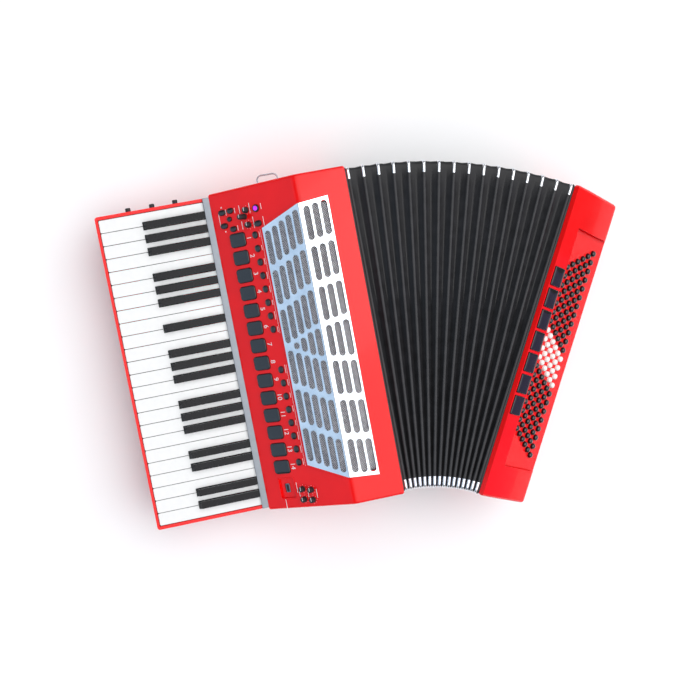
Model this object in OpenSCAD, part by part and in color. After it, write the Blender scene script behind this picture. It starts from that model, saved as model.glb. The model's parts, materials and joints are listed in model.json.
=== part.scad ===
// Digital piano accordion, lying on its back with the bellows fanned open at the chin end.
// X runs from the treble side to the bass side, +Y points to the chin end, +Z to the front.
// The origin is on the back of the treble case, at its bellows edge, half way up the keyboard.

/* [Treble case] */
// Length of the treble case from its foot to its chin end
case_len = 490; // [480:1:520]
// Height of the front face above the back
case_high = 190; // [180:1:200]
// Width of the flat front face, from the bellows to the fold
front_w = 75; // [70:1:80]
// Width of the sloping panel, measured flat
slope_w = 124; // [120:1:130]
// Slope of the panel that carries the registers, in degrees
slope_tilt = 35; // [33:1:36]
// Wall thickness of both cases
wall = 3; // [2.5:0.1:3.5]

/* [Keyboard] */
// Spacing of the white keys
key_pitch = 19.6; // [19:0.1:20]
// Visible length of a white key
white_len = 157; // [150:1:160]
// Visible length of a black key
black_len = 93; // [85:1:100]
// Height of the white key tops above the back
key_top = 100; // [98:1:101]

/* [Registers and buttons] */
// Number of treble registers
register_count = 14; // [10:1:14]
// Spacing of the treble registers
register_pitch = 26.8; // [26:0.1:27]
// Spacing of the small oval buttons
memory_pitch = 20.3; // [19:0.1:21]
// Spacing of the bass registers
bass_register_pitch = 33.6; // [32:0.1:34]
// Spacing of the bass buttons along a row
bass_pitch = 14.2; // [13.5:0.1:14.5]
// Diameter of a bass button
bass_button_d = 8.8; // [8:0.1:9]

/* [Bellows] */
// Number of ridges, the two end ones included
ridge_count = 16; // [16]
// Spacing of the ridges with the bellows closed
ridge_pitch = 7; // [6.6:0.1:7.2]
// Thickness of one ridge
ridge_thick = 4.2; // [4:0.1:4.4]
// Angle between the treble side and the bass side, in degrees
fan_angle = 28; // [10:1:30]
// Length of the bellows
bellows_len = 486; // [470:1:486]

/* [Hidden] */
$fn = 48;

red = "#D8121E";
black = "#1C1B20";
silver = "#A9AEB4";
white = "#F2F2F2";
dark_grey = "#3D3D3D";

// Treble profile: back, front face, rounded fold, slope and the wall under the keyboard.
half_len = case_len / 2;
fold_r = 22;
fold_reach = fold_r * tan(slope_tilt / 2);
foot_x = -front_w - slope_w;
foot_z = case_high - slope_w * tan(slope_tilt);
slope_len = slope_w / cos(slope_tilt);
edge_r = 4;

// Keyboard
white_count = 24;
bed_bottom = 55;
bed_rail = 5;
keys_right = foot_x - 10;
keys_left = keys_right - white_len;
bed_left = keys_left - bed_rail;
bed_half = white_count * key_pitch / 2 + 5.5;
axle_x = foot_x - 6;
axle_z = key_top - 13;
axle_d = 4;
axle_play = 0.05;
key_gap = 0.9;
black_w = 10.6;
black_rise = 9;
// Boundaries between white keys, counted from the chin end, that carry a black key.
black_at = [1, 2, 3, 5, 6, 7, 9, 11, 12, 13, 15, 16, 17, 19, 20, 22, 23];

// Slope controls, as distances up the slope from its foot.
register_s = 38;
register_w = 27;
register_l = 21;
register_round = 4.5;
register_y = 169;
memory_s = 69.5;
memory_y = 171.3;
memory_w = 8.5;
memory_l = 10.5;
knob_hole_d = 6.6;
button_play = 0.4;
button_rise = 2.2;

// Grille, as distances along the surface from the fold line, front side positive.
grille_x = -31.5;
grille_y = 207;
grille_fold_y = 203;
grille_drop = 66.3;
grille_low_y = 179;
grille_thick = 2.4;
mesh_gap = 1.2;
slot_w = 9.6;
slot_len = 50;
slot_pitch_y = 58.8;

// Strap loops on the end walls.
loop_x = -107;
upper_loop_z = 105;
lower_loop_z = 40;

// Bellows and bass side. Each hinge lies at the foot of the bellows, between two ridges.
bellows_half = bellows_len / 2;
bellows_low = 4;
bellows_high = 184;
flange = 3;
ridge_wall = 12;
first_ridge = flange + ridge_thick / 2;
hinge_y = -bellows_half;
fan_step = fan_angle / (ridge_count - 1);
bass_x = first_ridge + (ridge_count - 1) * ridge_pitch + ridge_thick / 2 + flange;
bass_half = 243;
bass_high = 189;
bass_lip = 5;
step_x = 28;
step_z = 175;
field_foot_x = 86;
field_foot_z = 131;
field_y1 = 184;
field_y0 = -191;
bass_wall_x = 92;
bass_cover_w = 24;
chamfer_x = 30;
chamfer_z = 68;

// x of ridge k and of hinge j with the bellows closed.
function ridge_x(k) = first_ridge + (k - 1) * ridge_pitch;
function hinge_x(j) = ridge_x(j) + ridge_pitch / 2;
// Points of an arc in the plane of the profile.
function arc(cx, cz, r, a0, a1, n = 8) =
    [for (i = [0:n]) let (a = a0 + (a1 - a0) * i / n) [cx + r * cos(a), cz + r * sin(a)]];
// Turns a point about a hinge by one fan step.
function fan_turn(p, j) =
    let (dx = p[0] - hinge_x(j), dy = p[1] - hinge_y)
    [hinge_x(j) + dx * cos(fan_step) + dy * sin(fan_step),
     hinge_y - dx * sin(fan_step) + dy * cos(fan_step)];

// Treble outline in X and Z, drawn inset by d.
function treble_outline(d) = concat(
    [[-d, d], [-d, case_high - d]],
    arc(-front_w + fold_reach, case_high - fold_r, fold_r - d, 90, 90 + slope_tilt),
    [[foot_x + d, foot_z - d * (1 / cos(slope_tilt) - tan(slope_tilt)) ], [foot_x + d, d]]);

// Stands a profile in X and Z up between two Y places.
module along_y(y0, y1) {
    translate([0, y1, 0]) rotate([90, 0, 0]) linear_extrude(y1 - y0) children();
}
module rounded_rect(x, y, r) {
    square([x - 2 * r, y], center = true);
    square([x, y - 2 * r], center = true);
    for (i = [-1, 1], j = [-1, 1])
        translate([i * (x / 2 - r), j * (y / 2 - r)]) circle(r);
}
module pill(x, y) {
    d = min(x, y);
    square([x > y ? x - d : x, x > y ? y : y - d], center = true);
    for (i = [-1, 1])
        translate([x > y ? i * (x - d) / 2 : 0, x > y ? 0 : i * (y - d) / 2]) circle(d = d);
}
// Places children on the slope, s up from its foot, with +Z out of the panel.
module on_slope(s, y, h = 0) {
    translate([foot_x + s * cos(slope_tilt), y, foot_z + s * sin(slope_tilt)])
        rotate([0, -slope_tilt, 0]) translate([0, 0, h]) children();
}

// ---- Treble side ----
register_ys = [for (i = [0:register_count - 1]) register_y - i * register_pitch];
memory_ys = concat([for (i = [0:7]) memory_y - i * memory_pitch], [for (i = [0:7]) -32.2 - i * memory_pitch]);
// Oval and round buttons of the chin end control group: s, y, size along the slope, size along Y.
menu_places = [[19, 213.5, 12, 8], [19, 193.5, 12, 8], [34, 214, 11, 8], [34, 186.5, 11, 8],
               [30, 202, 7.5, 7.5], [78, 187, 12, 8.5]];
light_place = [79, 209.5, 11, 11];
// Knobs: s, y, diameter, height.
edit_place = [57, 201, 9, 16];
level_places = [[62, 210, 9.5, 7], [62, 188, 9.5, 7], [67, -215.5, 9.5, 7], [82, -217.5, 9.5, 7],
                [67, -231.5, 9.5, 7], [82, -233, 9.5, 7]];
socket_place = [40, -213, 30, 34];

module slope_holes() {
    for (y = register_ys) on_slope(register_s, y, -6) linear_extrude(12)
        rounded_rect(register_w + button_play * 2, register_l + button_play * 2, register_round + button_play);
    for (y = memory_ys) on_slope(memory_s, y, -6) linear_extrude(12)
        pill(memory_w + button_play * 2, memory_l + button_play * 2);
    for (p = concat(menu_places, [light_place])) on_slope(p[0], p[1], -6) linear_extrude(12)
        pill(p[2] + button_play * 2, p[3] + button_play * 2);
    for (p = concat(level_places, [edit_place])) on_slope(p[0], p[1], -6) cylinder(d = knob_hole_d, h = 12);
    on_slope(socket_place[0], socket_place[1], -6) linear_extrude(12)
        rounded_rect(socket_place[2], socket_place[3], 3);
}
module air_opening(x) {
    translate([x, -bellows_half + ridge_wall + 2, bellows_low + ridge_wall + 2])
        cube([wall + 2, bellows_len - 2 * ridge_wall - 4, bellows_high - bellows_low - 2 * ridge_wall - 4]);
}
module speaker_window() {
    // Opening behind the grille, on the front face and on the slope.
    translate([-front_w + 6, -196, case_high - 10]) cube([36, 392, 20]);
    on_slope(slope_len - 58, 0, -8) translate([0, -172, 0]) cube([52, 344, 16]);
}
module treble_case() {
    color(red) difference() {
        along_y(-half_len, half_len) polygon(treble_outline(0));
        along_y(-half_len + wall, half_len - wall) polygon(treble_outline(wall));
        // The back is open inside the walls, and the bellows side has a wide air opening.
        translate([foot_x + wall, -half_len + wall, -1]) cube([-foot_x - 2 * wall, case_len - 2 * wall, wall + 1.01]);
        air_opening(-wall - 1);
        slope_holes();
        speaker_window();
    }
}
module treble_back_cover() {
    color(dark_grey) translate([foot_x + wall, -half_len + wall, 0])
        cube([-foot_x - 2 * wall, case_len - 2 * wall, wall]);
}
module bed_outline() {
    w = foot_x - bed_left;
    translate([bed_left + w / 2, 0]) rounded_rect(w, 2 * bed_half, edge_r);
    translate([foot_x - 20, -bed_half]) square([20, 2 * bed_half]);
}
module keyboard_bed() {
    color(red) difference() {
        translate([0, 0, bed_bottom]) linear_extrude(key_top + 1 - bed_bottom) bed_outline();
        end_button_places() cylinder(d = 8.8, h = 20, center = true);
        translate([keys_left - 0.8, -bed_half + bed_rail, bed_bottom + wall])
            cube([foot_x - keys_left + 1.8, 2 * bed_half - 2 * bed_rail, key_top]);
    }
}
// Three push buttons stand in the chin end rail.
module end_button_places() {
    for (x = [-321, -285, -250]) translate([x, bed_half, key_top - 14]) rotate([-90, 0, 0]) children();
}
module key_axle() {
    color(silver) translate([axle_x, bed_half - bed_rail, axle_z]) rotate([90, 0, 0])
        cylinder(d = axle_d, h = 2 * (bed_half - bed_rail));
}
module key_contact_board() {
    color("darkgreen") translate([keys_left + 40, -220, bed_bottom + wall]) cube([60, 440, 1.6]);
    color(dark_grey) for (i = [0:white_count - 1])
        translate([keys_left + 60, key_pitch * (i - (white_count - 1) / 2), bed_bottom + wall + 1.6])
            cylinder(d = 8, h = 6);
}
module finger_strip() {
    color(silver) translate([keys_right, -bed_half, key_top + 1]) cube([foot_x - keys_right, 2 * bed_half, 3]);
}
function white_y(i) = key_pitch * ((white_count - 1) / 2 - i);
function black_y(b) = key_pitch * (white_count / 2 - b);
module white_key(i) {
    y = white_y(i);
    w = key_pitch - key_gap;
    difference() {
        translate([keys_left, y - w / 2, key_top - 17]) cube([axle_x + 4 - keys_left, w, 17]);
        // Hollow underneath, in front of the axle.
        translate([keys_left + 2, y - w / 2 + 2, key_top - 18]) cube([white_len - 8, w - 4, 15]);
        for (b = black_at) if (b == i || b == i + 1)
            translate([keys_right - black_len - 1.2, black_y(b) - black_w / 2 - 1, key_top - 20])
                cube([black_len + 20, black_w + 2, 30]);
        translate([axle_x, y + w, axle_z]) rotate([90, 0, 0]) cylinder(d = axle_d + 2 * axle_play, h = 2 * w);
    }
}
module black_key(b) {
    y = black_y(b);
    x0 = keys_right - black_len;
    difference() {
        translate([0, y, 0]) rotate([90, 0, 0]) translate([0, 0, -black_w / 2]) linear_extrude(black_w)
            polygon([[x0, key_top - 14], [x0, key_top + 3], [x0 + 4, key_top + black_rise],
                     [keys_right - 0.6, key_top + black_rise], [keys_right - 0.6, key_top],
                     [axle_x + 4, key_top], [axle_x + 4, key_top - 17], [x0 + 60, key_top - 17]]);
        translate([axle_x, y + black_w, axle_z]) rotate([90, 0, 0])
            cylinder(d = axle_d + 2 * axle_play, h = 2 * black_w);
    }
}
module white_keys(g) {
    color(white) for (i = [g - 1:4:white_count - 1]) white_key(i);
}
module black_keys(g) {
    color(black) for (k = [g - 1:4:len(black_at) - 1]) black_key(black_at[k]);
}

// Grille columns: distance from the fold, shift of the rows towards the middle, length of the middle slot.
front_columns = [[35.8, 0, 53], [22.7, 2, 51], [9.7, 4, 46]];
slope_columns = [[6.3, 7, 40], [19.3, 12, 33.6], [32.3, 17.5, 20.6], [45.3, 23, 9.7], [58.3, 28, 0]];
module grille_slots(x, shift, middle) {
    for (r = [-3:3]) {
        size = r == 0 ? middle : slot_len;
        if (size > 0) translate([x, r * slot_pitch_y - sign(r) * shift]) pill(slot_w, size);
    }
}
module front_plate(h, gap) {
    translate([0, 0, case_high + gap]) linear_extrude(h) difference() {
        polygon([[-front_w, -grille_fold_y], [grille_x, -grille_y], [grille_x, grille_y], [-front_w, grille_fold_y]]);
        for (c = front_columns) grille_slots(-front_w + c[0], c[1], c[2]);
    }
}
module slope_plate(h, gap) {
    on_slope(slope_len, 0, gap) linear_extrude(h) difference() {
        polygon([[0, -grille_fold_y], [-grille_drop, -grille_low_y], [-grille_drop, grille_low_y], [0, grille_fold_y]]);
        for (c = slope_columns) grille_slots(-c[0], c[1], c[2]);
    }
}
module grille_plate() {
    color("#E4E8EE") {
        front_plate(grille_thick, mesh_gap);
        slope_plate(grille_thick, mesh_gap);
        // Rounded bend that joins the two plates along the fold.
        along_y(-grille_fold_y, grille_fold_y) fold_sector(mesh_gap, grille_thick);
    }
}
module fold_sector(gap, h) {
    polygon(concat([[-front_w, case_high + gap]],
        arc(-front_w, case_high, gap + h, 90, 90 + slope_tilt, 6),
        [[-front_w - gap * sin(slope_tilt), case_high + gap * cos(slope_tilt)]]));
}
module grille_mesh() {
    color("#8A8C94") {
        translate([-front_w, -200, case_high + 0.1]) cube([40, 400, mesh_gap - 0.2]);
        on_slope(slope_len, 0, 0.1) linear_extrude(mesh_gap - 0.2)
            polygon([[-0.6, -200], [-65, -176], [-65, 176], [-0.6, 200]]);
    }
}
module main_board() {
    color("darkgreen") translate([-150, -150, 12]) cube([130, 300, 1.6]);
    color(silver) for (y = [-130, 130], x = [-140, -30]) translate([x, y, wall]) cylinder(d = 6, h = 12 - wall);
    color(black) for (y = [-90, -30, 30, 90]) translate([-100, y - 12, 13.6]) cube([24, 24, 3]);
}
module treble_speakers() {
    // Each speaker hangs from a mounting rail under the front face.
    for (y = [-110, 110]) translate([-52, y, 176]) {
        color(black) translate([22, -45, 0]) cube([26, 90, case_high - wall - 176]);
        color(black) difference() {
            rotate([180, 0, 0]) cylinder(d1 = 84, d2 = 42, h = 26);
            translate([0, 0, -4]) cylinder(d = 74, h = 6);
        }
        color(silver) translate([0, 0, -44]) cylinder(d = 46, h = 18);
    }
}
module usb_socket() {
    color(red) on_slope(socket_place[0], socket_place[1], -5) difference() {
        linear_extrude(5.5) rounded_rect(socket_place[2] - 0.2, socket_place[3] - 0.2, 2.9);
        translate([0, 0, 1.5]) linear_extrude(6) rounded_rect(socket_place[2] - 4, socket_place[3] - 4, 1.5);
        translate([-6, -6.5, -1]) cube([5, 13, 5]);
    }
}
module wire_loop(width, stand) {
    // A bent wire: two legs and a straight bar between two rounded corners.
    r = 7;
    wire = 1.1;
    for (s = [-1, 1]) {
        translate([s * width / 2, -1, 0]) rotate([-90, 0, 0]) cylinder(r = wire, h = stand - r + 1);
        translate([s * (width / 2 - r), stand - r, 0]) rotate([0, 0, s > 0 ? 0 : 90])
            rotate_extrude(angle = 90) translate([r, 0]) circle(wire);
    }
    translate([-width / 2 + r, stand, 0]) rotate([0, 90, 0]) cylinder(r = wire, h = width - 2 * r);
}
module strap_loops() {
    color(silver) {
        translate([loop_x, half_len, upper_loop_z]) {
            translate([0, 1, 0]) wire_loop(31, 13);
            translate([-19, 0, -6]) cube([38, 2, 12]);
        }
        translate([loop_x, -half_len, lower_loop_z]) mirror([0, 1, 0]) {
            translate([0, 1, 0]) wire_loop(31, 10);
            translate([-19, 0, -6]) cube([38, 2, 12]);
        }
    }
}
module treble_feet() {
    color(black) for (x = [foot_x + 20, -20]) translate([x, -half_len, 24]) rotate([90, 0, 0]) cylinder(d1 = 18, d2 = 14, h = 7);
}

// ---- Buttons and knobs ----
module treble_registers() {
    color(black) for (y = register_ys) on_slope(register_s, y, -3.5) linear_extrude(3.5 + button_rise)
        rounded_rect(register_w, register_l, register_round);
}
module memory_buttons() {
    color(black) for (y = memory_ys) on_slope(memory_s, y, -3.5) linear_extrude(3.5 + button_rise)
        pill(memory_w, memory_l);
}
module menu_buttons() {
    color(black) for (p = concat(menu_places, [light_place]))
        on_slope(p[0], p[1], -3.5) linear_extrude(3.5 + button_rise) pill(p[2], p[3]);
}
module end_buttons() {
    color(black) end_button_places() translate([0, 0, -3]) cylinder(d = 8, h = 9.5);
}
module knob(p) {
    color(black) on_slope(p[0], p[1]) {
        translate([0, 0, -5]) cylinder(d = 6, h = 5.3);
        translate([0, 0, 0.3]) cylinder(d1 = p[2], d2 = p[2] - 1.2, h = p[3]);
    }
}

// ---- Bellows ----
// Carries children from the closed bellows to their place behind hinge k - 1.
module fan_to(k, j = 1) {
    if (j < k)
        translate([hinge_x(j), hinge_y, 0]) rotate(-fan_step) translate([-hinge_x(j), -hinge_y, 0])
            fan_to(k, j + 1) children();
    else children();
}
module ridge_section(inset) {
    rounded_rect(bellows_high - bellows_low - 2 * inset, bellows_len - 2 * inset, 5 - inset / 4);
}
// A frame of the bellows' section, from x0 on, h thick.
module bellows_ring(x0, h) {
    translate([x0 + h, 0, (bellows_high + bellows_low) / 2]) rotate([0, -90, 0]) linear_extrude(h) difference() {
        ridge_section(0);
        ridge_section(ridge_wall);
    }
}
module ridge(k) {
    color(dark_grey) fan_to(k) bellows_ring(ridge_x(k) - ridge_thick / 2, ridge_thick);
}
// One fold between ridge j and ridge j + 1: a hollow wedge.
module fold_wedge(j, y0, y1) {
    a = ridge_x(j) + ridge_thick / 2 + 0.1;
    b = ridge_x(j + 1) - ridge_thick / 2 - 0.1;
    polygon([[a, y0], fan_turn([b, y0], j), fan_turn([b, y1], j), [a, y1]]);
}
module bellows_folds() {
    inset = 4;
    color(black) for (j = [1:ridge_count - 1]) fan_to(j) difference() {
        translate([0, 0, bellows_low + inset]) linear_extrude(bellows_high - bellows_low - 2 * inset)
            fold_wedge(j, -bellows_half + inset, bellows_half - inset);
        translate([0, 0, bellows_low + ridge_wall]) linear_extrude(bellows_high - bellows_low - 2 * ridge_wall)
            fold_wedge(j, -bellows_half + ridge_wall, bellows_half - ridge_wall);
    }
}
module treble_bellows_frame() {
    color(silver) bellows_ring(0, flange);
    color(dark_grey) bellows_ring(flange, ridge_thick);
}
module in_bass() {
    fan_to(ridge_count) children();
}
module bass_bellows_frame() {
    in_bass() {
        color(silver) bellows_ring(bass_x - flange, flange);
        color(dark_grey) bellows_ring(bass_x - flange - ridge_thick, ridge_thick);
    }
}

// ---- Bass side, drawn with the bellows closed ----
// Profile in X and Z: front edge bevel, register slope, button slope, outer wall and hand chamfer.
bass_points = [[0, 0], [0, bellows_high], [bass_lip, bass_high], [step_x, step_z], [field_foot_x, field_foot_z],
               [bass_wall_x, field_foot_z - 9], [bass_wall_x, chamfer_z], [chamfer_x, 0]];
bass_inner = [[wall, wall], [wall, bellows_high - wall], [bass_lip + 1, bass_high - wall - 1],
              [step_x - 1.5, step_z - wall - 0.5], [field_foot_x - 2, field_foot_z - wall],
              [bass_wall_x - wall, field_foot_z - 10], [bass_wall_x - wall, chamfer_z + 1], [chamfer_x - 1, wall]];
register_tilt = atan((bass_high - step_z) / (step_x - bass_lip));
field_tilt = atan((step_z - field_foot_z) / (field_foot_x - step_x));
bass_register_w = 22;
bass_register_l = 29;
field_depth = 7;
module on_bass_slope(y, h = 0) {
    translate([bass_x + (bass_lip + step_x) / 2, y, (bass_high + step_z) / 2])
        rotate([0, register_tilt, 0]) translate([0, 0, h]) children();
}
// Places children on the sunk button panel, s down from its top.
module on_field(s, y, h = 0) {
    translate([bass_x + step_x, y, step_z]) rotate([0, field_tilt, 0]) translate([s, 0, h - field_depth]) children();
}
bass_register_ys = [for (i = [-3:3]) 2.7 + i * bass_register_pitch];
// Six staggered rows, each half a pitch longer at both ends than the one above it.
field_len = 83;
row_pitch = 10.9;
inner_row_count = 19;
module bass_places() {
    for (r = [0:5], i = [0:inner_row_count - 1 + r])
        on_field(9 + r * row_pitch, -3.7 + bass_pitch * (i - (inner_row_count - 1 + r) / 2)) children();
}
module bass_case() {
    color(red) in_bass() difference() {
        translate([bass_x, 0, 0]) along_y(-bass_half, bass_half) polygon(bass_points);
        translate([bass_x, 0, 0]) along_y(-bass_half + wall, bass_half - wall) polygon(bass_inner);
        translate([bass_x + wall, -bass_half + wall, -1])
            cube([bass_cover_w, 2 * bass_half - 2 * wall, wall + 1.01]);
        air_opening(bass_x - 1);
        // Sunk panel for the buttons, open to the outer side.
        on_field(0, field_y0, 0) cube([90, field_y1 - field_y0, 30]);
        bass_holes();
        for (y = bass_register_ys) on_bass_slope(y, -8) linear_extrude(16)
            rounded_rect(bass_register_w + 2 * button_play, bass_register_l + 2 * button_play, 1.5);
    }
    // Panel under the buttons.
    color(red) in_bass() difference() {
        union() {
            on_field(-1.6, field_y0 - 2, -2.5) cube([field_len + 1.6, field_y1 - field_y0 + 4, 2.5]);
            on_field(-1.6, field_y0 - 2, -2.5) cube([1.6, field_y1 - field_y0 + 4, 8.5]);
        }
        bass_holes();
    }
}
module bass_holes() {
    bass_places() translate([0, 0, -6]) cylinder(d = bass_button_d + 0.8, h = 12, $fn = 24);
}
module bass_back_cover() {
    color(dark_grey) in_bass() translate([bass_x + wall, -bass_half + wall, 0])
        cube([bass_cover_w, 2 * bass_half - 2 * wall, wall]);
}
module bass_registers() {
    color(black) in_bass() for (y = bass_register_ys) on_bass_slope(y, -3.5) linear_extrude(3.5 + 2)
        rounded_rect(bass_register_w, bass_register_l, 1.5);
}
module bass_buttons() {
    color(black) in_bass() bass_places() {
        translate([0, 0, -4]) cylinder(d = bass_button_d, h = 8, $fn = 24);
    }
}
module battery_pack() {
    color("#2B4C7E") in_bass() translate([bass_x + 6, -120, 30]) cube([13, 240, 70]);
    color(silver) in_bass() for (y = [-100, 100]) translate([bass_x + 8, y - 5, wall]) cube([8, 10, 30 - wall]);
}
// Hand strap along the chamfer at the back of the bass side.
chamfer_tilt = atan2(chamfer_z, bass_wall_x - chamfer_x);
module on_chamfer(y, h = 0) {
    in_bass() translate([bass_x + (chamfer_x + bass_wall_x) / 2, y, chamfer_z / 2]) rotate([0, 180 - chamfer_tilt, 0])
        translate([0, 0, h]) children();
}
strap_stand = 15;
module bass_strap() {
    color(black) on_chamfer(0, strap_stand) translate([-17, -190, 0]) cube([34, 380, 2.5]);
}
module strap_brackets() {
    color(silver) for (s = [-1, 1]) on_chamfer(s * 182) translate([-15, -6, 0]) cube([30, 12, strap_stand]);
}
module bass_feet() {
    color(black) in_bass() for (x = [16, 44]) translate([bass_x + x, -bass_half, 80]) rotate([90, 0, 0])
        cylinder(d1 = 18, d2 = 14, h = 7);
}

treble_case();
treble_back_cover();
keyboard_bed();
key_axle();
key_contact_board();
finger_strip();
grille_plate();
grille_mesh();
main_board();
treble_speakers();
usb_socket();
strap_loops();
treble_feet();
treble_bellows_frame();
white_keys(1);  // white_keys_1
white_keys(2);  // white_keys_2
white_keys(3);  // white_keys_3
white_keys(4);  // white_keys_4
black_keys(1);  // black_keys_1
black_keys(2);  // black_keys_2
black_keys(3);  // black_keys_3
black_keys(4);  // black_keys_4
treble_registers();
memory_buttons();
menu_buttons();
end_buttons();
knob(edit_place);  // edit_knob
knob(level_places[0]);  // level_knob_1
knob(level_places[1]);  // level_knob_2
knob(level_places[2]);  // level_knob_3
knob(level_places[3]);  // level_knob_4
knob(level_places[4]);  // level_knob_5
knob(level_places[5]);  // level_knob_6
ridge(2);  // ridge_2
ridge(3);  // ridge_3
ridge(4);  // ridge_4
ridge(5);  // ridge_5
ridge(6);  // ridge_6
ridge(7);  // ridge_7
ridge(8);  // ridge_8
ridge(9);  // ridge_9
ridge(10);  // ridge_10
ridge(11);  // ridge_11
ridge(12);  // ridge_12
ridge(13);  // ridge_13
ridge(14);  // ridge_14
ridge(15);  // ridge_15
bellows_folds();
bass_bellows_frame();
bass_case();
bass_back_cover();
bass_registers();
bass_buttons();
battery_pack();
bass_strap();
strap_brackets();
bass_feet();
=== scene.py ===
"""Looks of the digital piano accordion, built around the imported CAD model. Metres throughout."""
import json
import math
import random

import bmesh
import bpy
from mathutils import Matrix, Vector


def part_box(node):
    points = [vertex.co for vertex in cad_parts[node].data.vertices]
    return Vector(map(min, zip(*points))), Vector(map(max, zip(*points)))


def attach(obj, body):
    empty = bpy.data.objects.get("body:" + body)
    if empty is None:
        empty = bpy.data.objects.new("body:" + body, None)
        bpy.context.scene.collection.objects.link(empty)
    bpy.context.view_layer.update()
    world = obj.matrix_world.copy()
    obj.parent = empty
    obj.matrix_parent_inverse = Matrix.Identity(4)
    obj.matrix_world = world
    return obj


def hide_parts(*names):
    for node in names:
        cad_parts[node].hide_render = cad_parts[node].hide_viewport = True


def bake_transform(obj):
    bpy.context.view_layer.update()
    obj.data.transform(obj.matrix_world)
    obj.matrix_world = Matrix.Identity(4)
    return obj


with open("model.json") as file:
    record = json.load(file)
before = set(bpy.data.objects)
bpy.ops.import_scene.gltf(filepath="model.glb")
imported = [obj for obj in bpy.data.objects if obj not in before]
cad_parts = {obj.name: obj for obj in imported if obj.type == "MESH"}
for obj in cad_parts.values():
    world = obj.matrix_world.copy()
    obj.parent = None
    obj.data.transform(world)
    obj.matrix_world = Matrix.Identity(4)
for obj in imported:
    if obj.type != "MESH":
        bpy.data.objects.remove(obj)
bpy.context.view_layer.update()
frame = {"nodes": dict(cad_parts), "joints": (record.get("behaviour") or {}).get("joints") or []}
MM = 0.001
rng = random.Random(7)

# ---- Driving dimensions of the design, as the CAD model has them ----
SLOPE_TILT = math.radians(35)
CASE_LO, CASE_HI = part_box("treble_case")
CASE_HIGH = CASE_HI[2]
FRONT_W = 75 * MM
REGISTER_PITCH = 26.8 * MM
MEMORY_PITCH = 20.3 * MM
BASS_REGISTER_PITCH = 33.6 * MM
BASS_PITCH = 14.2 * MM
BASS_ROW_PITCH = 10.9 * MM
END_BUTTON_XS = (-321 * MM, -285 * MM, -250 * MM)
FOOT_X = CASE_LO[0]
FOOT_Z = CASE_HIGH - (-FOOT_X - FRONT_W) * math.tan(SLOPE_TILT)
SLOPE_LEN = (-FOOT_X - FRONT_W) / math.cos(SLOPE_TILT)
REGISTER_YS = [(169 - 26.8 * i) * MM for i in range(14)]
MEMORY_YS = [(171.3 - 20.3 * i) * MM for i in range(8)] + [(-32.2 - 20.3 * i) * MM for i in range(8)]
BELLOWS_LOW, BELLOWS_HIGH = 4 * MM, 184 * MM
BELLOWS_LEN = 486 * MM
RIDGE_THICK = 4.2 * MM
RIDGE_COUNT = 16
BASS_OFFSET = 5.1 * MM
BASS_SLOPE = ((5 * MM, 189 * MM), (28 * MM, 175 * MM))
FIELD_SLOPE = ((28 * MM, 175 * MM), (86 * MM, 131 * MM))
FIELD_DEPTH = 7 * MM
# Run and rise of the bass side's lower back chamfer, and how far the hand strap's top stands off it.
CHAMFER_RUN, CHAMFER_RISE = 62, 68
CHAMFER_MIDDLE = Vector((61 * MM, 0, 34 * MM))
STRAP_TOP = 17.5 * MM

HINGES = [Vector(j["pos_m"]) for j in frame["joints"] if j["name"].startswith("bellows_fold")]
FAN_STEP = -math.radians(next(j for j in frame["joints"] if j["name"] == "bellows_fold_1")["range_deg"][0])
HALF_PITCH = HINGES[0].x - (7.2 * MM - RIDGE_THICK / 2)

# ---- Tolerances for reading the CAD meshes ----
WELD = 2e-6
FLAT_ANGLE = math.radians(0.6)
SHARP_ANGLE = math.radians(28)
PLANE_MARGIN = 0.0004
ABOVE_BACK = 0.001


# ---- Frames of the parts ----
def on_slope(s, y, h=0.0):
    """Place on the treble slope: s up from its foot, h out of the panel."""
    place = Vector((FOOT_X + s * math.cos(SLOPE_TILT), y, FOOT_Z + s * math.sin(SLOPE_TILT)))
    return Matrix.Translation(place) @ Matrix.Rotation(-SLOPE_TILT, 4, "Y") @ Matrix.Translation((0, 0, h))


def ridge_frame(k):
    """Frame of ridge k: its origin at the foot edge, X across the bellows, Y towards the chin end."""
    turn = Matrix.Rotation(-(k - 1) * FAN_STEP, 4, "Z")
    if k == 1:
        foot = HINGES[0] - Vector((HALF_PITCH, 0, 0))
    else:
        foot = HINGES[k - 2] + turn @ Vector((HALF_PITCH, 0, 0))
    return Matrix.Translation(foot) @ turn


BASS = ridge_frame(RIDGE_COUNT) @ Matrix.Translation((BASS_OFFSET, BELLOWS_LEN / 2, 0))


def bass_slope(ends, s, y, h=0.0):
    """Place on a slope of the bass face, s down from its upper end."""
    (x0, z0), (x1, z1) = ends
    tilt = math.atan2(z0 - z1, x1 - x0)
    place = Matrix.Translation((x0, y, z0)) @ Matrix.Rotation(tilt, 4, "Y")
    return BASS @ place @ Matrix.Translation((s, 0, h))


def ridge_body(k):
    if k == 1:
        return "treble"
    if k == RIDGE_COUNT:
        return "bass"
    return f"ridge_body_{k}"


# ---- Materials ----
def linear(hex_colour):
    """sRGB hex colour as linear RGBA."""
    parts = [int(hex_colour[i:i + 2], 16) / 255 for i in (1, 3, 5)]
    return [c / 12.92 if c <= 0.04045 else ((c + 0.055) / 1.055) ** 2.4 for c in parts] + [1.0]


def add(tree, kind, inputs=None, **settings):
    """Adds a node; each input is a plain value or the output socket that feeds it."""
    node = tree.nodes.new(kind)
    for key, value in settings.items():
        setattr(node, key, value)
    for key, value in (inputs or {}).items():
        if isinstance(value, bpy.types.NodeSocket):
            tree.links.new(value, node.inputs[key])
        else:
            node.inputs[key].default_value = value
    return node


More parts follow.
